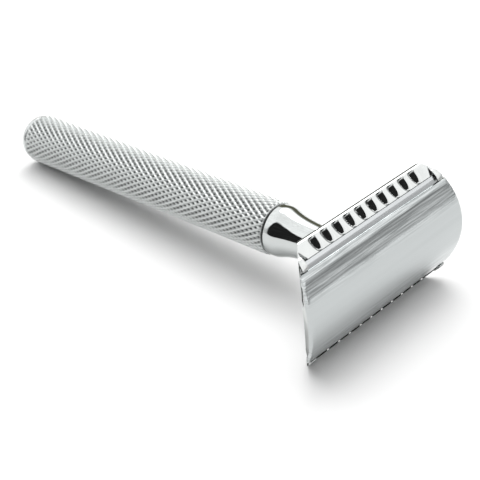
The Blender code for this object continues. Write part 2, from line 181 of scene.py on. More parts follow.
def scratch_flanks(material, start, full):
    """Streak the flanks, from start to full strength in millimetres either side of z = 0."""
    tree = material.node_tree
    base = tree.nodes["Principled BSDF"].inputs["Base Color"]
    across = math_node(tree, "ABSOLUTE", object_axis(tree, "Z"))
    strength = progress(tree, across, start, full)
    lines = streak_noise(tree, (0.9, 0.11, 3.3))
    tone = ramp(tree, lines, [
        (0.38, (0.72, 0.73, 0.73)),
        (0.50, 1.0),
        (0.60, 1.24),
    ])
    fade = mix_colour(tree, strength, (1.0, 1.0, 1.0, 1.0), tone)
    metal = base.links[0].from_socket
    tree.links.new(mix_colour(tree, 1.0, metal, fade, "MULTIPLY"), base)


def paint_groove_shade(material, shade_x, shade_end_x):
    """Painted shade in the groove where the neck meets the grip: the metal is near black up to the
    first x given and fades back to its own colour by the second.
    """
    tree = material.node_tree
    base = tree.nodes["Principled BSDF"].inputs["Base Color"]
    place = progress(tree, object_axis(tree, "X"), shade_x, shade_end_x)
    unshaded = ramp(tree, place, [(0.0, 0.0), (1.0, 1.0)])
    metal = base.links[0].from_socket
    tree.links.new(mix_colour(tree, unshaded, (0.03, 0.03, 0.028, 1.0), metal), base)


def knurl_material():
    """Chrome over a diamond knurl whose colour darkens with depth as painted shade: bright ridges,
    duller flanks, near black pits.
    """
    material, tree, shader = new_material("knurled_chrome_grip")
    shader.inputs["Metallic"].default_value = 1.0
    shader.inputs["Specular Tint"].default_value = (0.3, 0.3, 0.3, 1.0)
    ridge = node(tree, "ShaderNodeAttribute", attribute_name="ridge").outputs["Fac"]
    # wear shifts the ridge level up or down by at most half its spread
    wear = 0.14
    worn = math_node(tree, "MULTIPLY", streak_noise(tree, (0.35, 0.35, 0.35)), wear)
    shift = math_node(tree, "SUBTRACT", worn, wear / 2)
    level = math_node(tree, "ADD", ridge, shift, clamp=True)
    # painted shade: the base colour falls from the ridges' tops down the flanks to near black in
    # the pits
    shade = ramp(tree, level, [
        (0.00, (0.012, 0.013, 0.013)),
        (0.26, (0.10, 0.105, 0.104)),
        (0.52, (0.49, 0.51, 0.505)),
        (1.00, (0.75, 0.77, 0.765)),
    ])
    tree.links.new(shade, shader.inputs["Base Color"])
    polish = ramp(tree, level, [(0.0, 0.60), (0.7, 0.50), (1.0, 0.42)])
    tree.links.new(polish, shader.inputs["Roughness"])
    bump(tree, shader, cycles=(2.0, 2.0, 2.0), depth=0.004)
    return material


CAP_CHROME = chrome(
    "cap_polished_chrome", colour=(0.495, 0.518, 0.520), rough=(0.04, 0.10),
    haze=(0.12, 0.015, 0.9), scratches=(0.35, 0.020, 1.45), depth=0.0085, tint=0.035)
NECK_CHROME = chrome(
    "neck_mirror_chrome", colour=(0.56, 0.58, 0.575), rough=(0.03, 0.07),
    haze=(0.25, 0.25, 0.25), scratches=(0.6, 0.6, 0.6), depth=0.0002, tint=0.03)
PLATE_CHROME = chrome(
    "plate_bright_chrome", colour=(0.60, 0.615, 0.61), rough=(0.05, 0.12),
    haze=(0.5, 0.3, 0.5), scratches=(1.0, 0.5, 1.0), depth=0.0004, tint=0.04, edge=0.25)
BLADE_STEEL = chrome(
    "blade_steel_ground", colour=(0.62, 0.64, 0.65), rough=(0.10, 0.20),
    haze=(1.5, 0.05, 1.5), scratches=(6.0, 0.3, 6.0), depth=0.0006, tint=0.08)
scratch_flanks(CAP_CHROME, start=3.6, full=6.0)
# painted shade on the neck's rim face, in the groove between it and the grip
paint_groove_shade(NECK_CHROME, shade_x=76.22, shade_end_x=76.36)
STUD_CHROME = chrome(
    "stud_threaded_chrome", colour=(0.62, 0.63, 0.63), rough=(0.12, 0.22),
    haze=(0.8, 0.8, 0.8), scratches=(1.5, 1.5, 1.5), depth=0.0005, tint=0.06)
PIN_CHROME = chrome(
    "pin_turned_chrome", colour=(0.64, 0.65, 0.65), rough=(0.10, 0.18),
    haze=(0.3, 1.5, 1.5), scratches=(4.0, 0.6, 0.6), depth=0.0005, tint=0.06)
END_CHROME = chrome(
    "end_cap_chrome", colour=(0.60, 0.62, 0.62), rough=(0.20, 0.30),
    haze=(0.4, 0.4, 0.4), scratches=(1.0, 1.0, 1.0), depth=0.0003, tint=0.04)
GRIP_CHROME = knurl_material()


# --- Mesh helpers ---------------------------------------------------------------

def new_object(name, data):
    obj = bpy.data.objects.new(name, data)
    pieces.objects.link(obj)
    return obj


def smooth(mesh, angle):
    """Shade smooth, with edges sharper than angle (degrees) kept crisp."""
    mesh.shade_smooth()
    mesh.set_sharp_from_angle(angle=math.radians(angle))


def add_object(name, mesh, material, angle=35.0):
    obj = new_object(name, mesh)
    mesh.materials.clear()
    mesh.materials.append(material)
    smooth(mesh, angle)
    return obj


def write_mesh(solid, mesh):
    """Turn the faces outwards and move the bmesh into the mesh."""
    bmesh.ops.recalc_face_normals(solid, faces=solid.faces)
    solid.to_mesh(mesh)
    solid.free()


def mesh_from(name, verts, faces):
    mesh = bpy.data.meshes.new(name)
    mesh.from_pydata([(x * MM, y * MM, z * MM) for x, y, z in verts], [], faces)
    mesh.validate()
    solid = bmesh.new()
    solid.from_mesh(mesh)
    write_mesh(solid, mesh)
    mesh.update()
    return mesh


def ring_point(x, radius, step, steps, y=0.0):
    """One of the points on a circle about the X axis, or about a parallel axis at y."""
    turn = 2 * math.pi * step / steps
    return x, y + radius * math.cos(turn), radius * math.sin(turn)


def revolve(name, profile, material, steps=160, y=0.0):
    """Turn (x, radius) points about an axis along X; the first and last lie on the axis."""
    verts, rings = [], []
    for x, radius in profile:
        count = steps if radius > 0 else 1
        rings.append(range(len(verts), len(verts) + count))
        verts += [ring_point(x, radius, i, count, y) for i in range(count)]
    faces = []
    for ring, following in zip(rings, rings[1:]):
        for i in range(steps):
            j = (i + 1) % steps
            if len(ring) == 1:
                faces.append((ring[0], following[j], following[i]))
            elif len(following) == 1:
                faces.append((ring[i], ring[j], following[0]))
            else:
                faces.append((ring[i], ring[j], following[j], following[i]))
    return add_object(name, mesh_from(name, verts, faces), material)


def arc(centre_x, centre_r, radius, start, stop, count):
    """Points (x, r) on an arc; angles in degrees from the +x direction."""
    turns = [math.radians(start + (stop - start) * i / count) for i in range(count + 1)]
    return [(centre_x + radius * math.cos(turn), centre_r + radius * math.sin(turn))
            for turn in turns]


def bmesh_object(name, solid):
    mesh = bpy.data.meshes.new(name)
    solid.to_mesh(mesh)
    solid.free()
    return new_object(name, mesh)


def cylinders(name, rows):
    """One object of cylinders along X; each row is (radius, x0, x1, y, segments)."""
    solid = bmesh.new()
    for radius, x0, x1, y, segments in rows:
        centre = Matrix.Translation(Vector(((x0 + x1) / 2, y, 0.0)) * MM)
        bmesh.ops.create_cone(
            solid, cap_ends=True, segments=segments, radius1=radius * MM, radius2=radius * MM,
            depth=(x1 - x0) * MM, matrix=centre @ Matrix.Rotation(math.pi / 2, 4, "Y"),
        )
    return bmesh_object(name, solid)


def boolean(obj, cutter, operation):
    modifier = obj.modifiers.new(operation.lower(), "BOOLEAN")
    modifier.operation = operation
    modifier.solver = "EXACT"
    modifier.object = cutter


def round_edges(obj, width, angle):
    """Bevel the edges that turn by more than angle (degrees)."""
    bevel = obj.modifiers.new("round_edges", "BEVEL")
    bevel.width = width * MM
    bevel.segments = 3
    bevel.limit_method = "ANGLE"
    bevel.angle_limit = math.radians(angle)


def evaluated_mesh(obj):
    bpy.context.view_layer.update()
    evaluated = obj.evaluated_get(bpy.context.evaluated_depsgraph_get())
    return bpy.data.meshes.new_from_object(evaluated)


def bake(obj, angle, cutters=()):
    """Apply an object's modifiers, remove the cutters and smooth the result."""
    mesh = evaluated_mesh(obj)
    obj.modifiers.clear()
    obj.data = mesh
    for cutter in cutters:
        bpy.data.objects.remove(cutter, do_unlink=True)
    smooth(mesh, angle)


def interpolate(points, value):
    """Linear interpolation in rising (value, result) points, held flat beyond both ends."""
    if value <= points[0][0]:
        return points[0][1]
    for (low, low_result), (high, high_result) in zip(points, points[1:]):
        if value <= high:
            return low_result + (high_result - low_result) * (value - low) / (high - low)
    return points[-1][1]


# --- Handle -----------------------------------------------------------------------

GRIP_X0, GRIP_X1, GRIP_R, GRIP_BORE = 1.70, 75.70, 5.50, 4.20
SPIGOT_R = 4.15                  # of the plug and the neck inside the grip

KNURL_STARTS = 30                # ridges of each hand round the grip
KNURL_SPACING = 2.165            # between ridges along the axis
KNURL_SAMPLES = 6                # lattice steps in one spacing
KNURL_DEPTH = 0.50
KNURL_HALF_W = 0.46              # half width of a ridge, in spacings
KNURL_RUNOUT = 0.36              # length over which the knurl fades at each end
GRIP_END_DROP = 0.28             # how far the grip's ends round down
# ridge levels of the plain ends and the bore; the grip's material paints shade by this level, so
# the bore is painted darker
RIDGE_AT_END, RIDGE_IN_BORE = 0.75, 0.4


def ridge_height(place):
    """Height, 0 to 1, at a place counted in ridges."""
    off = abs(place - round(place))
    return max(0.0, 1.0 - (off / KNURL_HALF_W) ** 1.4)


def knurled_grip():
    """Lattice whose edges run along both hands of the knurl, so every ridge is crisp."""
    around = KNURL_STARTS * KNURL_SAMPLES * 2
    along = 2 * int(round((GRIP_X1 - GRIP_X0) / (KNURL_SPACING / KNURL_SAMPLES)))
    step = (GRIP_X1 - GRIP_X0) / along
    lattice, verts, ridge = {}, [], []
    for j in range(along + 1):
        x = GRIP_X0 + j * step
        fade = min(1.0, max(0.0, min(x - GRIP_X0, GRIP_X1 - x) / KNURL_RUNOUT))
        for i in range(j % 2, around, 2):
            height = max(ridge_height((i + j) / (2.0 * KNURL_SAMPLES)),
                         ridge_height((i - j) / (2.0 * KNURL_SAMPLES)))
            radius = (GRIP_R - KNURL_DEPTH * (1.0 - height) * fade
                      - GRIP_END_DROP * (1.0 - fade) ** 1.5)
            lattice[i, j] = len(verts)
            verts.append(ring_point(x, radius, i, around))
            ridge.append(height * fade + RIDGE_AT_END * (1.0 - fade))
    faces = []
    for j in range(along + 1):
        for i in range((j + 1) % 2, around, 2):
            west, east = lattice[(i - 1) % around, j], lattice[(i + 1) % around, j]
            if j == 0:
                faces.append((west, east, lattice[i, 1]))
            elif j == along:
                faces.append((west, lattice[i, j - 1], east))
            else:
                faces.append((west, lattice[i, j - 1], east, lattice[i, j + 1]))
    # both end faces, then the bore between them
    count = around // 2
    bore_rings = []
    for j in (0, along):
        columns = range(j % 2, around, 2)
        outer = [lattice[i, j] for i in columns]
        inner = range(len(verts), len(verts) + count)
        verts += [ring_point(GRIP_X0 + j * step, GRIP_BORE, i, around) for i in columns]
        ridge += [RIDGE_IN_BORE] * count
        for k in range(count):
            following = (k + 1) % count
            faces.append((outer[k], outer[following], inner[following], inner[k]))
        bore_rings.append(inner)
    near, far = bore_rings
    for k in range(count):
        following = (k + 1) % count
        faces.append((near[k], near[following], far[following], far[k]))
    mesh = mesh_from("knurled_grip_fine", verts, faces)
    # the ridge level, from which the grip's material paints shade into the pits
    attribute = mesh.attributes.new("ridge", "FLOAT", "POINT")
    attribute.data.foreach_set("value", ridge)
    return add_object("knurled_grip_fine", mesh, GRIP_CHROME, 60.0)


grip = knurled_grip()
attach(grip, "handle")
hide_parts("knurled_grip")

PLUG_DEPTH, PLUG_CHAMFER = 10.0, 0.25
FLANGE_X, FLANGE_R, FLANGE_ROUND = 1.65, 5.10, 0.15
# quarter ellipse rounding the outer face: its centre radius, and its size along x and r
FACE_CENTRE_R, FACE_ROUND_X, FACE_ROUND_R = 4.10, 1.20, 1.15


def grip_end_plug():
    """The plug's spigot in the grip, its flange and its rounded outer face."""
    profile = [
        (PLUG_DEPTH, 0.0),
        (PLUG_DEPTH, SPIGOT_R - PLUG_CHAMFER),
        (PLUG_DEPTH - PLUG_CHAMFER, SPIGOT_R),
        (FLANGE_X, SPIGOT_R),
        (FLANGE_X, FLANGE_R),
    ]
    profile += arc(1.47, FLANGE_R, FLANGE_ROUND, 0, 60, 4)[1:]
    for i in range(15):
        turn = math.radians(90.0 * i / 14)
        profile.append((FACE_ROUND_X * (1.0 - math.sin(turn)),
                        FACE_CENTRE_R + FACE_ROUND_R * math.cos(turn)))
    profile += [(0.0, 3.0), (0.0, 1.5), (0.0, 0.0)]
    return revolve("grip_end_plug_fine", profile, END_CHROME)


plug = grip_end_plug()
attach(plug, "handle")
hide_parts("grip_end_plug")

NECK_RIM_X, NECK_TOP_X, NECK_TOP_R, NECK_RIM_R = 78.0, 97.40, 3.15, 5.25
NECK_EASE = 0.7                  # half the length over which the taper blends into the rim
NECK_CURVE_X0, NECK_CURVE_X1 = 76.9, 97.1
RIM_ROUND = 0.18
# (x, r) from the bottom of the head-end bore out to the top
NECK_BORE = [
    (85.8, 0.0), (87.0, 2.55), (97.0, 2.55), (97.25, 2.62), (NECK_TOP_X, 2.78), (NECK_TOP_X, 2.98),
]
# (x, r) from the rim's grip-side face through the groove and spigot to the axis
NECK_SPIGOT = [
    (76.20, 4.45), (75.75, 4.45), (75.75, SPIGOT_R), (61.4, SPIGOT_R), (61.0, 3.75), (61.0, 0.0),
]


def neck_radius(x):
    if x < NECK_RIM_X:
        return NECK_RIM_R
    part = (min(x, NECK_TOP_X) - NECK_RIM_X) / (NECK_TOP_X - NECK_RIM_X)
    shape = 0.42 * (1 - part) + 0.58 * math.exp(-5.2 * part) * (1 - part)
    return NECK_TOP_R + (NECK_RIM_R - NECK_TOP_R) * shape


def soft_neck_radius(x):
    """The neck's radius averaged over a short reach, easing the taper into the plain rim."""
    return sum(neck_radius(x + NECK_EASE * k / 6) for k in range(-6, 7)) / 13


def neck_collar():
    profile = NECK_BORE + arc(97.28, 3.02, 0.12, 20, 80, 4)
    for i in range(70, -1, -1):
        x = NECK_CURVE_X0 + (NECK_CURVE_X1 - NECK_CURVE_X0) * i / 70
        profile.append((x, soft_neck_radius(x)))
    profile.append((76.45, NECK_RIM_R))
    profile += arc(76.38, NECK_RIM_R - RIM_ROUND, RIM_ROUND, 95, 180, 6)
    return revolve("neck_collar_fine", profile + NECK_SPIGOT, NECK_CHROME, steps=192)


neck = neck_collar()
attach(neck, "handle")
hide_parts("neck_collar")


# --- Cap ------------------------------------------------------------------------

ARC_X = 82.60                    # centre of the arcs that the cap, blade and plate share
CAP_HALF_W, CAP_EDGE_X, CAP_RISE = 9.22, 100.70, 2.95
CAP_HALF_L, CAP_BOW = 21.0, 1.33     # half length at the edges, and how far the ends bow out
CAP_UNDER_R = 20.02
SOCKET_X0, SOCKET_GAP = 99.0, 0.03
STUD_R, STUD_ROOT_X, STUD_TIP_X = 2.45, 103.15, 90.9
PIN_Y, PIN_R, PIN_X0, PIN_X1 = 11.0, 1.20, 98.3, 103.0
PIN_CHAMFER, PIN_ROUND = 0.08, 0.45


def arc_x(radius, z):
    return ARC_X + math.sqrt(radius * radius - z * z)


def top_cap():
    """The domed cap, hollow arc beneath, with sockets for the stud and pins."""
    dome_r = (CAP_RISE ** 2 + CAP_HALF_W ** 2) / (2 * CAP_RISE)
    dome_x = CAP_EDGE_X + CAP_RISE - dome_r
    rows, columns = 90, 64
    verts = []
    for top in (True, False):
        for i in range(rows + 1):
            across = -1 + 2 * i / rows
            z = CAP_HALF_W * across
            x = dome_x + math.sqrt(dome_r ** 2 - z * z) if top else arc_x(CAP_UNDER_R, z)
            half = CAP_HALF_L + CAP_BOW * (1 - across * across)
            verts += [(x, half * (-1 + 2 * j / columns), z) for j in range(columns + 1)]

    def at(layer, i, j):
        return (layer * (rows + 1) + i) * (columns + 1) + j

    faces = []
    for i in range(rows):
        for j in range(columns):
            faces.append((at(0, i, j), at(0, i, j + 1), at(0, i + 1, j + 1), at(0, i + 1, j)))
            faces.append((at(1, i, j), at(1, i + 1, j), at(1, i + 1, j + 1), at(1, i, j + 1)))
    for i in range(rows):
        for j in (0, columns):
            faces.append((at(0, i, j), at(0, i + 1, j), at(1, i + 1, j), at(1, i, j)))
    for j in range(columns):
        for i in (0, rows):
            faces.append((at(0, i, j), at(0, i, j + 1), at(1, i, j + 1), at(1, i, j)))
    cap = add_object("top_cap_fine", mesh_from("top_cap_fine", verts, faces), CAP_CHROME)
    sockets = cylinders("sockets", [
        (STUD_R + SOCKET_GAP, SOCKET_X0, STUD_ROOT_X + SOCKET_GAP, 0.0, 96),
        (PIN_R + SOCKET_GAP, SOCKET_X0, PIN_X1 + SOCKET_GAP, -PIN_Y, 48),
        (PIN_R + SOCKET_GAP, SOCKET_X0, PIN_X1 + SOCKET_GAP, PIN_Y, 48),
    ])
    boolean(cap, sockets, "DIFFERENCE")
    round_edges(cap, width=0.11, angle=40)
    bake(cap, angle=45, cutters=[sockets])
    return cap


cap = top_cap()
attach(cap, "cap")
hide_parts("top_cap")

THREAD_PITCH, THREAD_ROOT_R = 0.8, 1.98
THREAD_X0, THREAD_X1 = STUD_TIP_X + 0.6, 101.9
THREAD_SAMPLES = 8               # rings in one pitch
THREAD_FADE = 6.0                # rings over which the thread fades at each end
TOOTH_HALF_W = 0.42              # in pitches
TOOTH_GAIN = 1.15                # flattens the crest


def threaded_stud():
    """A real helical thread between two plain ends."""
    steps = 64
    verts = []

    def add_ring(x, radii):
        verts.extend(ring_point(x, radii[i], i, steps) for i in range(steps))

    def thread_height(x, i):
        phase = (x / THREAD_PITCH + i / steps) % 1.0
        tooth = 1.0 - min(1.0, abs(phase - 0.5) / TOOTH_HALF_W)
        return (STUD_R - THREAD_ROOT_R) * min(1.0, tooth * TOOTH_GAIN)

    add_ring(STUD_TIP_X, [1.55] * steps)
    add_ring(STUD_TIP_X + 0.4, [1.95] * steps)
    count = int((THREAD_X1 - THREAD_X0) / THREAD_PITCH * THREAD_SAMPLES)
    for k in range(count + 1):
        x = THREAD_X0 + (THREAD_X1 - THREAD_X0) * k / count
        fade = min(1.0, k / THREAD_FADE, (count - k) / THREAD_FADE)
        add_ring(x, [THREAD_ROOT_R + thread_height(x, i) * fade for i in range(steps)])
    for x, radius in ((102.15, 2.10), (102.35, STUD_R), (STUD_ROOT_X, STUD_R)):
        add_ring(x, [radius] * steps)
    last = len(verts) - steps
    faces = []
    for first in range(0, last, steps):
        for i in range(steps):
            j = (i + 1) % steps
            faces.append((first + i, first + j, first + steps + j, first + steps + i))
    for first, x in ((0, STUD_TIP_X), (last, STUD_ROOT_X)):
        centre = len(verts)
        verts.append((x, 0.0, 0.0))
        faces += [(first + i, first + (i + 1) % steps, centre) for i in range(steps)]
    mesh = mesh_from("cap_stud_threaded", verts, faces)
    return add_object("cap_stud_threaded", mesh, STUD_CHROME, 50.0)


stud = threaded_stud()
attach(stud, "cap")
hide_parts("cap_stud")


def cap_pin(name, y):
    """A pin chamfered where it meets the cap and rounded at its tip."""
    round_x = PIN_X0 + PIN_ROUND
    profile = [
        (PIN_X1, 0.0), (PIN_X1, PIN_R - PIN_CHAMFER), (PIN_X1 - PIN_CHAMFER, PIN_R),
        (round_x, PIN_R),
    ]
    profile += arc(round_x, PIN_R - PIN_ROUND, PIN_ROUND, 90, 180, 10)[1:]
    profile.append((PIN_X0, 0.0))
    return revolve(name + "_fine", profile, PIN_CHROME, steps=64, y=y)


for name, y in (("cap_pin_left", -PIN_Y), ("cap_pin_right", PIN_Y)):
    pin = cap_pin(name, y)
    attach(pin, "cap")
    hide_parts(name)


# --- Blade ----------------------------------------------------------------------

BLADE_R, BLADE_T, BLADE_HALF_W, BLADE_HALF_L = 19.93, 0.10, 11.0, 21.4
EDGE_HALF_L, TAB_HALF_W = 18.5, 9.2      # the ground edges, and the tabs beyond them
NOTCH_ROUND, TAB_ROUND = 0.3, 1.6
GRIND_W, EDGE_THICKNESS = 0.65, 0.16     # ground strip, and its edge as a part of the thickness
SLOT_END_Y, SLOT_HALF_W = 16.4, 0.85
# (y, radius) of the round openings that the slot joins
LOBES = [(-SLOT_END_Y, 1.75), (-PIN_Y, 1.75), (0.0, 3.30), (PIN_Y, 1.75), (SLOT_END_Y, 1.75)]


def blade_outline():
    """The flat blade's edge as (y, s) points; s runs across the blade."""
    quarter = [(EDGE_HALF_L, BLADE_HALF_W), (EDGE_HALF_L, TAB_HALF_W + NOTCH_ROUND)]
    for turn in map(math.radians, (22, 45, 67, 90)):
        quarter.append((EDGE_HALF_L + NOTCH_ROUND - NOTCH_ROUND * math.cos(turn),
                        TAB_HALF_W + NOTCH_ROUND - NOTCH_ROUND * math.sin(turn)))
    for turn in map(math.radians, (0, 15, 30, 45, 60, 75, 90)):
        quarter.append((BLADE_HALF_L - TAB_ROUND + TAB_ROUND * math.sin(turn),
                        TAB_HALF_W - TAB_ROUND + TAB_ROUND * math.cos(turn)))
    half = quarter + [(y, -s) for y, s in reversed(quarter)]
    return half + [(-y, s) for y, s in reversed(half)]


def blade_opening():
    """The slotted opening's edge as (y, s) points."""
    side = []
    for y, radius in LOBES:
        reach = math.asin(SLOT_HALF_W / radius)
        start = math.pi if y == -SLOT_END_Y else math.pi - reach
        stop = 0.0 if y == SLOT_END_Y else reach
        for i in range(25):
            turn = start + (stop - start) * i / 24
            side.append((y + radius * math.cos(turn), radius * math.sin(turn)))
    return side + [(y, -s) for y, s in reversed(side)][1:-1]


def flat_blade():
    """The sheet as a mesh, filled between its outline and its opening."""
    curve = bpy.data.curves.new("blade_outline", "CURVE")
    curve.dimensions = "2D"
    curve.fill_mode = "BOTH"
    curve.extrude = BLADE_T / 2 * MM
    for loop in (blade_outline(), blade_opening()):
        spline = curve.splines.new("POLY")
        spline.points.add(len(loop) - 1)
        for point, (y, s) in zip(spline.points, loop):
            point.co = (y * MM, s * MM, 0.0, 1.0)
        spline.use_cyclic_u = True
    source = new_object("blade_outline", curve)
    mesh = evaluated_mesh(source)
    bpy.data.objects.remove(source, do_unlink=True)
    return mesh


def razor_blade():
    """The stamped sheet with its opening and ground edges, bent over the plate."""
    mesh = flat_blade()
    solid = bmesh.new()
    solid.from_mesh(mesh)
    bmesh.ops.remove_doubles(solid, verts=solid.verts, dist=1e-7)
    # cut lengthways so that the sheet can bend, then where the grinding starts
    cuts = [-10.8 + 21.6 * i / 72 for i in range(73)]
    cuts += [GRIND_W - BLADE_HALF_W, BLADE_HALF_W - GRIND_W]
    for cut in cuts:
        bmesh.ops.bisect_plane(
            solid, geom=solid.verts[:] + solid.edges[:] + solid.faces[:], dist=1e-8,
            plane_co=(0, cut * MM, 0), plane_no=(0, 1, 0),
        )
    bmesh.ops.remove_doubles(solid, verts=solid.verts, dist=1e-7)
    for vert in solid.verts:
        y, across, height = vert.co / MM
        height *= min(1.0, max(EDGE_THICKNESS, (BLADE_HALF_W - abs(across)) / GRIND_W))
        turn = across / BLADE_R
        radius = BLADE_R + height
        vert.co = Vector((ARC_X + radius * math.cos(turn), y, radius * math.sin(turn))) * MM
    write_mesh(solid, mesh)
    return add_object("blade_fine", mesh, BLADE_STEEL, 12.0)


blade = razor_blade()
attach(blade, "loose_blade")
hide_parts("blade")


# --- Base plate -------------------------------------------------------------------

BED_R, UNDER_R = 19.84, 18.00
BED_HALF_W, UNDER_HALF_W = 9.55, 11.75
# the guard's ramp falls outwards at 45 degrees, so x + z is constant along it
RAMP_SUM, RAMP_IN_X, RAMP_OUT_X = 110.35, 99.66, 97.75
RAMP_IN_V, RAMP_OUT_V = 0.11, 2.811      # distance out from the scallops' inner tips
GUARD_ROUND = 0.85
DIAGONAL = math.sqrt(0.5)

# (x from the cap's edge, z) of the groove between the bed and the ramp
BED_GROOVE = [(-1.40, 9.75), (-1.54, 9.95), (-1.60, 10.30), (-1.58, 10.46), (-1.48, 10.58)]

# (x from the cap's edge, half length) of the plate's ends seen along z
END_CURVE = [
    (-5.0, 15.4), (-4.4, 16.4), (-3.8, 17.1), (-3.0, 18.05), (-2.3, 18.95),
    (-1.2, 20.05), (-0.7, 20.5), (-0.2, 21.0), (0.5, 21.6), (3.8, 21.7),
]

SCALLOP_COUNT, SCALLOP_PITCH = 10, 3.176
SCALLOP_END_V = 3.10
SCALLOP_REACH = 0.55             # how far beyond a scallop its rounded lip is felt
GROOVE_SLOPE = 1.12              # depth for each millimetre in from a groove's edge
# (v, half width) of a scallop
SCALLOP_WIDTH = [
    (0.0, 0.22), (0.4, 0.55), (0.9, 0.78), (1.4, 0.92), (2.0, 1.00),
    (2.5, 1.02), (2.78, 0.95), (2.95, 0.70), (3.06, 0.30), (SCALLOP_END_V, 0.0),
]


def plan_half_length(z):
    """Half length seen along x: a slight bow, then rounded corners from z = 9.6 outwards."""
    z = abs(z)
    if z <= 9.6:
        return 21.7 - 1.20 * (z / 9.6) ** 2
    corner = min(1.0, (z - 9.6) / 3.3)
    return 20.50 - 3.6 * (1.0 - (1.0 - corner ** 2.6) ** 0.62)


def plate_half_length(x, z):
    return min(interpolate(END_CURVE, x - CAP_EDGE_X), plan_half_length(z))


def soft_positive(value, soft):
    """max(value, 0) with its corner rounded."""
    return 0.5 * (value + math.sqrt(value * value + soft * soft))


def groove_depth(y, v):
    """Depth of the nearest scallop: a V groove with rounded lips that deepens outwards."""
    half = interpolate(SCALLOP_WIDTH, v)
    middle = (SCALLOP_COUNT - 1) / 2
    nearest = min(SCALLOP_COUNT - 1, max(0, round(y / SCALLOP_PITCH + middle)))
    off = abs(y - (nearest - middle) * SCALLOP_PITCH)
    rise = half - off - max(0.0, v - SCALLOP_END_V) * 2.0
    if rise <= -SCALLOP_REACH:
        return 0.0
    soft = 0.03 + 0.19 * min(1.0, half / 0.60)
    base = soft_positive(-SCALLOP_REACH, soft)
    bottom = soft_positive(half, soft) - base
    inside = soft_positive(rise, soft) - base
    return GROOVE_SLOPE * min(inside, bottom)


def relief_depth(y, v):
    """Depth of the triangular relief beside each end of the blade's edge."""
    left, right = 17.50 + 0.50 * (v + 0.3), 18.95 - 0.10 * (v + 0.3)
    gap = min(3.2 * (abs(y) - left), GROOVE_SLOPE * (right - abs(y)))
    return max(0.0, min(1.3, gap))


def scallop(y, v):
    """Depth below the ramp at y, v millimetres out from the scallops' inner tips."""
    depth = groove_depth(y, v) if v < 3.4 else 0.0
    if v < 2.1:
        relief = relief_depth(y, v)
        if relief > 0:
            depth = max(depth, relief)
    return depth


def section():
    """Half section from the bed's centre round to the underside's: (x, z, v or None).

    v is set only where the scallops may cut.
    """
    points = []
    for i in range(31):
        z = BED_HALF_W * i / 30
        points.append((arc_x(BED_R, z), z, None))
    points += [(CAP_EDGE_X + x, z, None) for x, z in BED_GROOVE]
    in_z, out_z = RAMP_SUM - RAMP_IN_X, RAMP_SUM - RAMP_OUT_X
    points.append((RAMP_IN_X - 0.16, in_z - 0.016, None))
    points.append((RAMP_IN_X - 0.03, in_z - 0.004, None))
    ramp_length = math.hypot(RAMP_OUT_X - RAMP_IN_X, out_z - in_z)
    for i in range(27):
        part = i / 26
        x = RAMP_IN_X + (RAMP_OUT_X - RAMP_IN_X) * part
        z = in_z + (out_z - in_z) * part
        points.append((x, z, RAMP_IN_V + part * ramp_length))
    # rounded outer edge of the guard
    centre_x = RAMP_OUT_X - GUARD_ROUND * DIAGONAL
    centre_z = out_z - GUARD_ROUND * DIAGONAL
    for i in range(1, 15):
        turn = math.radians(45 + 140 * i / 14)
        v = RAMP_OUT_V + GUARD_ROUND * (turn - math.pi / 4) if i < 5 else None
        points.append((centre_x + GUARD_ROUND * math.cos(turn),
                       centre_z + GUARD_ROUND * math.sin(turn), v))
    for i in range(1, 41):
        z = UNDER_HALF_W * (40 - i) / 40
        points.append((arc_x(UNDER_R, z), z, None))
    return points


def plate_mesh():
    """The section swept along y between the curved ends, with the scallops pressed in."""
    half = section()
    loop = half + [(x, -z, v) for x, z, v in reversed(half)][1:-1]
    columns, count = 480, len(loop)
    verts, faces = [], []
    for j in range(columns + 1):
        along = -1 + 2 * j / columns
        for x, z, v in loop:
            y = along * plate_half_length(x, z)
            drop = 0.0 if v is None else DIAGONAL * scallop(y, v)
            verts.append((x - drop, y, z - math.copysign(drop, z)))
    for j in range(columns):
        near, far = j * count, (j + 1) * count
        for i in range(count):
            k = (i + 1) % count
            faces.append((near + i, far + i, far + k, near + k))
    faces += [tuple(j * count + i for i in range(count)) for j in (0, columns)]
    mesh = mesh_from("base_plate_fine", verts, faces)
    # the two end faces are many-sided, so they are cut into triangles
    solid = bmesh.new()
    solid.from_mesh(mesh)
    ends = [face for face in solid.faces if len(face.verts) > 4]
    bmesh.ops.triangulate(solid, faces=ends, quad_method="BEAUTY", ngon_method="EAR_CLIP")
    write_mesh(solid, mesh)
    return mesh


def base_plate():
    """The plate with a boss under the neck, and bores for the stud and the pins."""
    plate = add_object("base_plate_fine", plate_mesh(), PLATE_CHROME, 40.0)
    boss = cylinders("boss", [(4.40, 97.46, 101.4, 0.0, 128)])
    bores = cylinders("bores", [
        (2.75, 91.0, 109.0, 0.0, 96),
        (1.45, 91.0, 109.0, -PIN_Y, 64),
        (1.45, 91.0, 109.0, PIN_Y, 64),
    ])
    boolean(plate, boss, "UNION")
    boolean(plate, bores, "DIFFERENCE")
    bake(plate, angle=38, cutters=[boss, bores])
    return plate


plate = base_plate()
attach(plate, "guard")
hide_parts("base_plate")

LUG_IN_Y, LUG_OUT_Y = 18.74, 20.34
LUG_INSET = 0.02                 # kept inside the plate's ends
# (x from the cap's edge, z) round a lug
LUG_OUTLINE = [
    (-1.75, 9.52), (-0.02, 9.52), (0.06, 9.62), (-0.40, 10.38),
    (-1.20, 11.10), (-1.74, 11.34), (-2.35, 10.9),
]


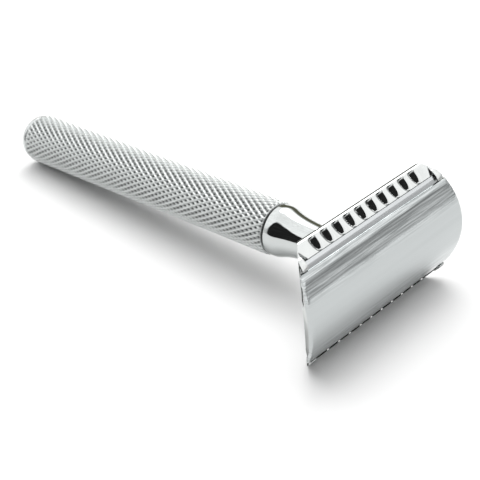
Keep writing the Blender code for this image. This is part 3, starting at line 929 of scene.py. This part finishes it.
def corner_lugs():
    """The four blocks that fill the blade's corner notches."""
    outline = [(CAP_EDGE_X + x, z) for x, z in LUG_OUTLINE]
    solid = bmesh.new()
    for side in (1, -1):
        for end in (1, -1):
            inner, outer = [], []
            for x, z in outline:
                inner.append(solid.verts.new(Vector((x, end * LUG_IN_Y, side * z)) * MM))
            for x, z in outline:
                y = min(LUG_OUT_Y, plate_half_length(x, z) - LUG_INSET)
                outer.append(solid.verts.new(Vector((x, end * y, side * z)) * MM))
            solid.faces.new(inner)
            solid.faces.new(outer)
            for i in range(len(outline)):
                k = (i + 1) % len(outline)
                solid.faces.new((inner[i], inner[k], outer[k], outer[i]))
    mesh = bpy.data.meshes.new("corner_lugs")
    write_mesh(solid, mesh)
    lugs = add_object("plate_corner_lugs", mesh, PLATE_CHROME)
    round_edges(lugs, width=0.10, angle=25)
    bake(lugs, angle=40)
    return lugs


lugs = corner_lugs()
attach(lugs, "guard")


# --- Floor ----------------------------------------------------------------------

# the razor lies on its head and the end of its grip
HEAD_REST_X, HEAD_REST_DROP, GRIP_REST_X = 97.45, 12.82, 2.15
FLOOR_POINT = Vector((HEAD_REST_X, 0.0, -12.84)) * MM
TILT = math.atan2(HEAD_REST_DROP - GRIP_R, HEAD_REST_X - GRIP_REST_X)
UP = Vector((math.sin(TILT), 0.0, math.cos(TILT)))


def paper_floor():
    disc = bmesh.new()
    bmesh.ops.create_circle(disc, cap_ends=True, segments=96, radius=1.2)
    floor = bmesh_object("floor", disc)
    floor.rotation_mode = "QUATERNION"
    floor.rotation_quaternion = Vector((0, 0, 1)).rotation_difference(UP)
    floor.location = FLOOR_POINT
    material, tree, shader = new_material("paper_sweep")
    tone = streak_noise(tree, (0.01, 0.01, 0.01), detail=2.0)
    shade = ramp(tree, tone, [(0.3, 0.755), (0.7, 0.765)])
    tree.links.new(shade, shader.inputs["Base Color"])
    shader.inputs["Roughness"].default_value = 0.9
    shader.inputs["Specular IOR Level"].default_value = 0.1
    floor.data.materials.append(material)
    return floor


paper_floor()


# --- World ----------------------------------------------------------------------

# by bearing in degrees, where 0 is +X and 90 is +Y:
# radiance of the dark layer above the horizon
LAYER_RADIANCE = [
    (-180, 0.30), (-150, 0.38), (-129, 0.40), (-121, 0.010), (-50, 0.010), (-32, 0.16),
    (0, 0.26), (25, 0.30), (85, 0.29), (108, (0.075, 0.075, 0.055)),
    (160, (0.065, 0.065, 0.045)), (180, 0.30),
]
# how high that layer reaches, in degrees
LAYER_REACH = [
    (-180, 16), (-130, 14), (-122, 30), (-113, 50), (-102, 58), (-85, 64), (-58, 60),
    (-40, 36), (-20, 22), (10, 18), (85, 18), (108, 25), (155, 27), (180, 16),
]
# (height / 90 degrees, radiance) of the sky above the layer
SKY = [(0.0, 0.35), (0.27, 0.36), (0.36, 0.40), (0.55, 0.41), (1.0, 0.34)]
# (noise, brightness) of the streaks in the sky and in the dark layer
SKY_STREAKS = [(0.36, 0.76), (0.60, 1.0)]
LAYER_STREAKS = [(0.32, 0.27), (0.43, 0.46), (0.53, 0.58), (0.66, 1.02)]


def room_colour(tree, direction):
    """What the metal reflects: a ragged dark layer under a pale sky, and a pale floor."""
    height = math_node(tree, "ARCSINE", vector_math(tree, "DOT_PRODUCT", direction, UP, "Value"))
    degrees = math_node(tree, "MULTIPLY", height, 180.0 / math.pi)
    split = node(tree, "ShaderNodeSeparateXYZ")
    tree.links.new(direction, split.inputs[0])
    bearing = math_node(tree, "ARCTAN2", split.outputs["Y"], split.outputs["X"])

    # streaks: uneven layers that run level round the room
    combine = node(tree, "ShaderNodeCombineXYZ")
    tree.links.new(math_node(tree, "MULTIPLY", bearing, 2.2), combine.inputs[0])
    tree.links.new(math_node(tree, "MULTIPLY", degrees, 0.45), combine.inputs[1])
    streak = noise(tree, combine.outputs[0], detail=4.0, roughness=0.7)

    turned = math_node(tree, "ADD", bearing, math.pi)
    turn = math_node(tree, "DIVIDE", turned, 2 * math.pi)

    def round_room(stops):
        return ramp(tree, turn, [((angle + 180.0) / 360.0, value) for angle, value in stops])

    layer = round_room(LAYER_RADIANCE)
    reach = round_room([(angle, top / 90) for angle, top in LAYER_REACH])

    # the layer's top is ragged by up to 4.5 degrees and blends over 8
    ragged = math_node(tree, "MULTIPLY", math_node(tree, "SUBTRACT", streak, 0.5), 9.0)
    ragged_height = math_node(tree, "ADD", degrees, ragged)
    over = math_node(tree, "SUBTRACT", ragged_height, math_node(tree, "MULTIPLY", reach, 90.0))
    blend = math_node(tree, "ADD", math_node(tree, "DIVIDE", over, 8.0), 0.5)
    above = ramp(tree, blend, [(0.05, 0.0), (0.95, 1.0)], "EASE")

    sky = ramp(tree, math_node(tree, "DIVIDE", degrees, 90.0), SKY)
    cloud = vector_math(tree, "MULTIPLY", sky, ramp(tree, streak, SKY_STREAKS))
    dark = vector_math(tree, "MULTIPLY", layer, ramp(tree, streak, LAYER_STREAKS))
    room = mix_colour(tree, above, dark, cloud)
    # the floor takes over in the first degrees below the horizon
    depth = math_node(tree, "ADD", math_node(tree, "DIVIDE", degrees, 3.0), 1.0)
    below = ramp(tree, depth, [(0.55, 1.0), (0.98, 0.0)])
    return mix_colour(tree, below, room, (0.25, 0.25, 0.25, 1.0))


def build_world():
    world = bpy.data.worlds.new("soft_studio")
    bpy.context.scene.world = world
    world.use_nodes = True
    tree = world.node_tree
    background = tree.nodes["Background"]
    direction = node(tree, "ShaderNodeTexCoord").outputs["Generated"]
    background.inputs["Strength"].default_value = 4.0
    tree.links.new(room_colour(tree, direction), background.inputs["Color"])

    # what lights the floor: a broad softbox overhead, a little towards -X and +Y
    softbox = Vector((-0.22, 0.26, 0.94)).normalized()
    facing = vector_math(tree, "DOT_PRODUCT", direction, softbox, "Value")
    overhead = math_node(tree, "MAXIMUM", facing, 0.0)
    lobe = math_node(tree, "POWER", overhead, 4.0)
    strength = math_node(tree, "ADD", math_node(tree, "MULTIPLY", lobe, 3.55), 0.30)
    diffuse = node(tree, "ShaderNodeBackground")
    diffuse.inputs["Color"].default_value = (1.0, 1.0, 1.0, 1.0)
    tree.links.new(strength, diffuse.inputs["Strength"])
    path = node(tree, "ShaderNodeLightPath")
    either = node(tree, "ShaderNodeMixShader")
    tree.links.new(path.outputs["Is Diffuse Ray"], either.inputs[0])
    tree.links.new(background.outputs[0], either.inputs[1])
    tree.links.new(diffuse.outputs[0], either.inputs[2])
    tree.links.new(either.outputs[0], tree.nodes["World Output"].inputs["Surface"])


build_world()


# --- Light and camera -------------------------------------------------------------

def soft_key():
    """A disc light above the +Y side; place and aim are in metres."""
    light = bpy.data.lights.new("soft_key", "AREA")
    light.shape = "DISK"
    light.size = 0.45
    light.energy = 1.6
    light.color = (1.0, 0.995, 0.985)
    lamp = bpy.data.objects.new("soft_key", light)
    bpy.context.scene.collection.objects.link(lamp)
    lamp.location = (-0.12, 0.42, 0.62)
    aim = Vector((0.06, 0.0, 0.0)) - lamp.location
    lamp.rotation_euler = aim.to_track_quat("-Z", "Y").to_euler()


CAMERA_PLACE = (223.755, -150.163, 123.494)
AZIMUTH, ELEVATION, ROLL = map(math.radians, (46.692, 30.691, -6.504))


def add_camera():
    camera = bpy.data.cameras.new("camera")
    camera.lens = 93.065
    camera.sensor_width = 36.0
    camera.clip_start = 0.01
    camera.clip_end = 20.0
    camera.dof.use_dof = True
    camera.dof.focus_distance = 0.228
    camera.dof.aperture_fstop = 70.0
    viewer = bpy.data.objects.new("camera", camera)
    bpy.context.scene.collection.objects.link(viewer)
    back = Vector((
        math.sin(AZIMUTH) * math.cos(ELEVATION),
        -math.cos(AZIMUTH) * math.cos(ELEVATION),
        math.sin(ELEVATION),
    ))
    right = Vector((math.cos(AZIMUTH), math.sin(AZIMUTH), 0.0))
    up = back.cross(right)
    rolled_right = right * math.cos(ROLL) + up * math.sin(ROLL)
    rolled_up = -right * math.sin(ROLL) + up * math.cos(ROLL)
    pose = Matrix((rolled_right, rolled_up, back)).transposed().to_4x4()
    pose.translation = Vector(CAMERA_PLACE) * MM
    viewer.matrix_world = pose
    bpy.context.scene.camera = viewer


soft_key()
add_camera()
view = bpy.context.scene.view_settings
view.view_transform = "Standard"
view.look = "None"
